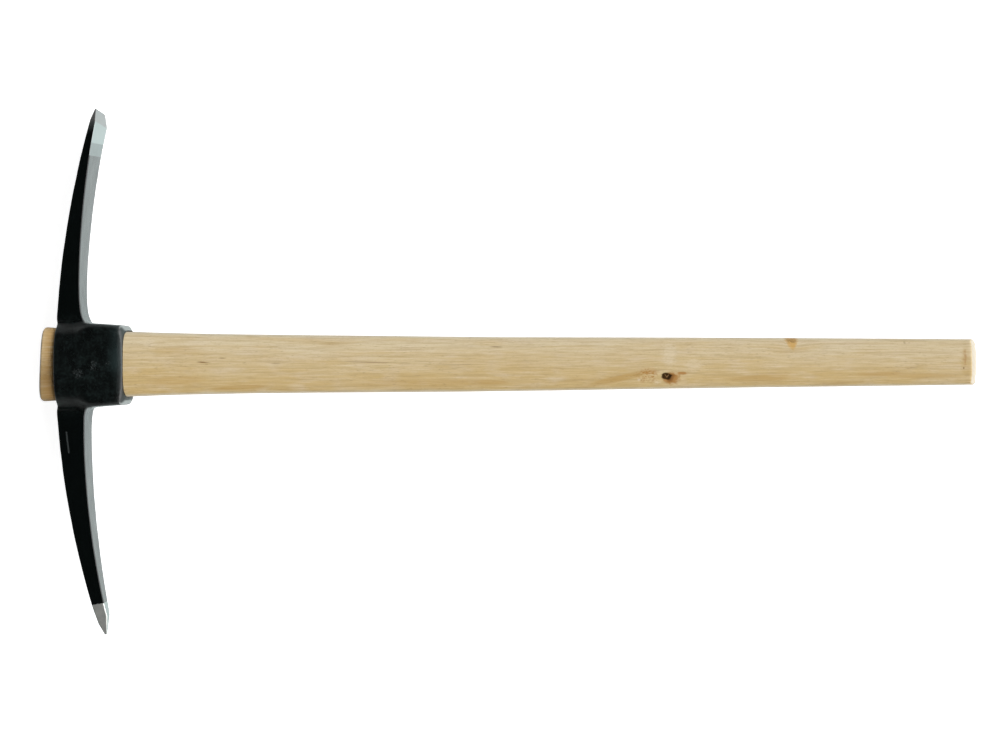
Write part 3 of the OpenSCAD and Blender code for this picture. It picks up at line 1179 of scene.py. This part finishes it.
# %% Forged unevenness
FORGED_WAVE = 0.16
FORGED_LENGTH = 17.0
HAMMER_WAVE = 0.07
HAMMER_LENGTH = 5.5
GROUND_FROM = 205.0
GROUND_FADE = 20.0
GROUND_CALM = 0.85
LUG_REACH = 3.0
LIP_DEPTH = 2.0
LIP_TURN = 0.6


def forged_move(point, normal):
    """How far a point of the head moves along its normal, in millimetres."""
    x = point.x / MM + HALF_LENGTH
    y = point.y / MM - AXIS_Y
    z = point.z / MM - AXIS_Z
    in_hole = normal.y * y + normal.z * z < 0 and TOP_RIM < x < COLLAR_RIM + LUG_REACH
    on_lip = abs(normal.x) > LIP_TURN and x > COLLAR_RIM - LIP_DEPTH
    if abs(y) < ARM_START and (in_hole or on_lip):
        return 0.0
    calm = max(0.0, min(1.0, (abs(y) - GROUND_FROM) / GROUND_FADE)) * GROUND_CALM
    slow = noise.noise(Vector((x, y, z)) / FORGED_LENGTH)
    quick = noise.noise(Vector((x, y, z)) / HAMMER_LENGTH)
    return (slow * FORGED_WAVE + quick * HAMMER_WAVE) * (1.0 - calm)


normals = [vertex.normal.copy() for vertex in head.data.vertices]
for vertex, normal in zip(head.data.vertices, normals):
    vertex.co += normal * forged_move(vertex.co, normal) * MM
head.data.shade_smooth()
print("forged points:", len(normals))

# %% [markdown]
# Paint wears first on outer edges, and outer edges also catch the light, so they get a faint grey that is
# partly wear and partly a painted glint. How sharp the surface is at a point can be told from its
# neighbours: on an outer edge they all lie below the point's own plane. That number is kept as an attribute
# of the mesh, and the paint reads it.

# %% Measure the edges
def mesh_numbers(parts, name, wide, kind=float):
    """One property of all parts of a mesh, a row for each part."""
    numbers = np.empty(len(parts) * wide, dtype=kind)
    parts.foreach_get(name, numbers)
    return numbers.reshape(-1, wide)


def edge_sharpness(mesh):
    """How far the neighbours of each point lie below its plane."""
    points = mesh_numbers(mesh.vertices, "co", 3)
    normal = mesh_numbers(mesh.vertices, "normal", 3)
    ends = mesh_numbers(mesh.edges, "vertices", 2, int)
    total = np.zeros(len(points))
    near = np.zeros(len(points))
    for a, b in ((0, 1), (1, 0)):
        step = points[ends[:, b]] - points[ends[:, a]]
        squared_length = np.einsum("ij,ij->i", step, step)
        below = -np.einsum("ij,ij->i", step, normal[ends[:, a]]) / squared_length
        np.add.at(total, ends[:, a], below)
        np.add.at(near, ends[:, a], 1.0)
    return total / near * MM


sharpness = edge_sharpness(head.data)
edge_mark = head.data.attributes.new("edge_sharpness", "FLOAT", "POINT")
edge_mark.data.foreach_set("value", sharpness.astype(np.float32))
print("sharpness: middle", np.median(sharpness).round(3), "top", np.percentile(sharpness, 99).round(3))

# %% [markdown]
# ## Paint and bare steel
# The head was dipped in black paint, and both cutting ends were then ground bright. Paint and steel share
# one piece, so they share one material: masks in millimetres say where the paint stops. The point is bare
# all round below a slanting line, while the chisel is bare on its inner side only.

# %% Where the paint stops
POINT_LINE = -231.9
POINT_LINE_SLANT = 0.15
POINT_LINE_MIDDLE = -398.0
POINT_BLUR = 0.25
BRIGHT_LINE = 213.8
DULL_LINE = 201.7
CHISEL_LINE_SLANT = -0.095
CHISEL_BLUR = 0.3
INNER_SIDE = (0.45, 0.7)
EDGE_TIP = (220.0, 246.0)

head_paint, coat = finish("head_paint")
head_x, head_y, head_z = in_millimetres(coat)
facing_x, facing_y, facing_z = split(coat.node("ShaderNodeNewGeometry", out="Normal"))


def spots(size_of_spot, detail, roughness=0.5):
    """Noise with round grains of this size."""
    return speckle(head_x, head_y, head_z, (size_of_spot,) * 3, detail, roughness)


def past(value, line, blur):
    """Goes from 0 to 1 as a value passes a line, or from 1 to 0 with a negative blur."""
    return soft_step(value, line - blur, line + blur)


ragged = (spots(3.0, 2.0) - 0.5) * 1.2
point_line = (head_x - POINT_LINE_MIDDLE) * POINT_LINE_SLANT + POINT_LINE
bare_point = past(point_line + ragged - head_y, 0.0, POINT_BLUR)
chisel_y = head_y - head_z * CHISEL_LINE_SLANT + ragged * 0.5
inner_side = soft_step(facing_x, *INNER_SIDE)
bright_chisel = past(chisel_y, BRIGHT_LINE, CHISEL_BLUR) * inner_side
dull_chisel = past(chisel_y, DULL_LINE, CHISEL_BLUR) * inner_side
edge_facet = past(head_y, CHISEL_HEEL, CHISEL_BLUR)
edge_tip = soft_step(head_y + ragged * 2.0, *EDGE_TIP) * 0.5
bare = strongest([bare_point, dull_chisel, edge_tip])
print("paint lines at", POINT_LINE, DULL_LINE, BRIGHT_LINE)

# %% [markdown]
# The eye has three scuffs, and the point arm has a scratch. A scuff isn't a grey patch: a fine noise breaks
# it up into chips, and the patch only says where they are. A scratch is a thin line with two ends.

# %% Scuffs and a scratch
SCUFFS = {
    "upper": (-396.3, -2.0, 6.4),
    "lower": (-412.0, -9.0, 6.8),
    "collar": (-383.0, 0.6, 3.0),
}
SCUFF_CORE = 0.45
SCUFF_GAIN = 0.11
SCUFF_RIM = (0.05, 0.3)
CHIP_EDGE = (0.62, 0.74)
SCRATCH_START = (-426.4, -65.0)
SCRATCH_END = (-424.1, -85.8)
SCRATCH_WIDTH = 0.75
SCRATCH_BLUR = 0.3
SCRATCH_FADE = 0.5
NEAR_SIDE = (6.0, 10.0)


def scuff(x, y, wide):
    """A round patch with a soft rim."""
    return soft_step(distance((head_x - x) / wide, (head_y - y) / wide), 1.0, SCUFF_CORE)


near_side = soft_step(head_z, *NEAR_SIDE)
chips = speckle(head_x, head_y, head_z, (1.3, 1.2, 1.3), 2.0, 0.6)
in_scuff = strongest([scuff(*place_and_size) for place_and_size in SCUFFS.values()])
scuffed = soft_step(chips + in_scuff * SCUFF_GAIN, *CHIP_EDGE)
scuffed = scuffed * soft_step(in_scuff, *SCUFF_RIM) * near_side

lean = (SCRATCH_END[0] - SCRATCH_START[0]) / (SCRATCH_END[1] - SCRATCH_START[1])
off_scratch = abs(head_x - SCRATCH_START[0] - (head_y - SCRATCH_START[1]) * lean)
scratch = past(off_scratch, SCRATCH_WIDTH, -SCRATCH_BLUR)
scratch = scratch * past(head_y, SCRATCH_START[1], -SCRATCH_FADE)
scratch = scratch * past(head_y, SCRATCH_END[1], SCRATCH_FADE) * near_side
print("scuffs:", ", ".join(SCUFFS))

# %% Worn and glinting edges, and the painted reflection on the collar's bevel
WORN_EDGE = (0.22, 0.42)
WORN_RAGGED = 0.25
WORN_SHARE = 0.25
BEVEL_TURN = (0.3, 0.6)
BEVEL_BEGINS = (-376.0, -373.0)
BEVEL_HALF = (42.0, 40.0)

sharp = coat.node("ShaderNodeAttribute", {"attribute_name": "edge_sharpness"}, None, out="Fac")
# Partly wear and partly a painted glint along sharp edges.
wear_and_glint = soft_step(sharp + (chips - 0.5) * WORN_RAGGED, *WORN_EDGE) * WORN_SHARE
# Painted reflection: the collar's bevel is painted pale where it faces right and aside, standing in for the
# white floor it mirrors.
bevel = soft_step(facing_x, *BEVEL_TURN) * soft_step(abs(facing_y), *BEVEL_TURN)
bevel = bevel * soft_step(head_x, *BEVEL_BEGINS) * soft_step(abs(head_y), *BEVEL_HALF)
print("edges wear from a sharpness of", WORN_EDGE[0])

# %% [markdown]
# Black paint isn't one black. On the eye it is mottled with fine grit and broader patches, and next to the
# collar it carries a painted sheen, a painted reflection of the floor on the eye's curve. The collar's bevel
# carries a pale painted reflection. The ground steel has several tones too, because each facet mirrors
# another part of the room: dull next to the paint, bright on the chisel, greyer on its edge.

# %% Colours of the paint
PAINT = opaque(0.0009, 0.0018, 0.0017)
DUSTY_PAINT = opaque(0.0080, 0.0135, 0.0128)
# Painted sheen: a lighter, greener black for the eye next to the collar.
COLLAR_SHEEN_PAINT = opaque(0.0170, 0.0290, 0.0290)
SCUFF_GREY = opaque(0.036, 0.043, 0.043)
SCRATCH_GREY = opaque(0.040, 0.046, 0.046)
# Grey for edges that are partly worn and partly a painted glint.
WEAR_AND_GLINT_GREY = opaque(0.030, 0.036, 0.036)
# Painted reflection of the floor on the collar's bevel.
BEVEL_REFLECTION_GREY = opaque(0.210, 0.230, 0.225)
EYE_ENDS = (52.0, 38.0)
DUST_ON_ARMS = 0.08
SHEEN_BEGINS = (-387.0, -375.0)
SHEEN_FOOT = (-15.0, 0.0)
SHEEN_HEAD = (22.0, 6.0)

from_axis = abs(head_y - EYE_SHIFT)
on_eye = soft_step(from_axis, *EYE_ENDS)
patches = spots(9.0, 3.0, 0.6)
grit = spots(2.1, 2.0, 0.7)
dust = ramp(patches * 0.40 + grit * 0.60, 0.485, 0.66)
dust = dust * (DUST_ON_ARMS + on_eye * (1.0 - DUST_ON_ARMS))
# Painted sheen: the eye is painted lighter towards the collar, where its face curves towards the light.
collar_sheen = soft_step(head_x, *SHEEN_BEGINS) * ramp(head_y + (patches - 0.5) * 20.0, *SHEEN_FOOT)
collar_sheen = collar_sheen * ramp(head_y, *SHEEN_HEAD, 0.5, 1.0) * on_eye * near_side
paint_layers = [
    (dust, DUSTY_PAINT),
    (collar_sheen * 0.65, COLLAR_SHEEN_PAINT),
    (wear_and_glint, WEAR_AND_GLINT_GREY),
    (bevel * 0.9, BEVEL_REFLECTION_GREY),
    (scuffed, SCUFF_GREY),
    (scratch * 0.8, SCRATCH_GREY),
]
paint_colour = layered(PAINT, paint_layers)
print(len(paint_layers), "layers on the paint")

# %% Colours of the steel
DULL_STEEL = opaque(0.252, 0.274, 0.274)
BRIGHT_STEEL = opaque(0.362, 0.398, 0.394)
FACET_STEEL = opaque(0.304, 0.306, 0.305)
POINT_STEEL = opaque(0.760, 0.775, 0.735)
POINT_INNER_STEEL = opaque(0.325, 0.357, 0.349)
POINT_FLANK = (0.4, 0.7)

steel_grain = speckle(head_x, head_y, head_z, (0.5, 9.0, 0.5), 2.0, 0.6)
point_side = bare_point * soft_step(abs(facing_z), *POINT_FLANK)
steel_layers = [
    (strongest([bare_point, bright_chisel]) * (0.8 + steel_grain * 0.3), BRIGHT_STEEL),
    (edge_facet, FACET_STEEL),
    (bare_point, POINT_INNER_STEEL),
    (point_side * ramp(patches, 0.3, 0.6, 0.7, 1.0), POINT_STEEL),
]
head_colour = mix_colour(bare, paint_colour, layered(DULL_STEEL, steel_layers))
print(len(steel_layers), "layers on the steel")

# %% [markdown]
# Gloss does the rest. The arms are smooth enough to mirror the white floor along their inner sides, the eye
# is duller and hammered, and the slopes where the arms leave it are duller still. The ground steel has fine
# lines from the wheel and lies a little lower than the paint around it.

# %% The surface of the head
ARM_ROUGHNESS = 0.16
STEEL_ROUGHNESS = 0.40
HEAD_GLOSS = 0.5
HEAD_RELIEF = 0.3
HEAD_RELIEF_STRENGTH = 0.45
LIP_BEGINS = (-377.0, -373.0)
ROOT_BEGINS = (26.0, 33.0)
ROOT_ENDS = (56.0, 47.0)
SLOPE_ASIDE = (0.2, 0.6)
SLOPE_UP = (0.15, 0.4)

peel = spots(1.1, 2.0)
hammered = spots(2.4, 3.0, 0.6)
on_lip = soft_step(head_x, *LIP_BEGINS) * on_eye
on_root = soft_step(from_axis, *ROOT_BEGINS) * soft_step(from_axis, *ROOT_ENDS)
on_root = on_root * soft_step(abs(facing_y), *SLOPE_ASIDE) * soft_step(abs(facing_z), *SLOPE_UP)
paint_rough = ARM_ROUGHNESS + on_eye * 0.09 + on_lip * 0.15 + on_root * 0.20
paint_rough = paint_rough + patches * 0.06 + scuffed * 0.2
steel_rough = STEEL_ROUGHNESS + steel_grain * 0.16
paint_height = peel * 0.5 + hammered * (0.40 + on_eye * 1.3)
head_height = paint_height * (1.0 - bare) + steel_grain * 0.12 * bare - bare * 0.4
cover(coat, {
    "Base Color": head_colour,
    "Roughness": paint_rough + (steel_rough - paint_rough) * bare,
    "Metallic": bare,
    "Specular IOR Level": HEAD_GLOSS,
    "Normal": relief(head_height, HEAD_RELIEF, HEAD_RELIEF_STRENGTH),
})
head.data.materials.clear()
head.data.materials.append(head_paint)
print("nodes in the paint:", len(head_paint.node_tree.nodes))

# %% [markdown]
# ## Onto the frame
# Each piece rides on its CAD body and stands for its CAD solid, which is hidden.

# %% Ride and replace
for piece, body, slot in ((handle, "handle", "handle_wood"), (head, "head", "head_paint")):
    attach(piece, body)
    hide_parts(body)
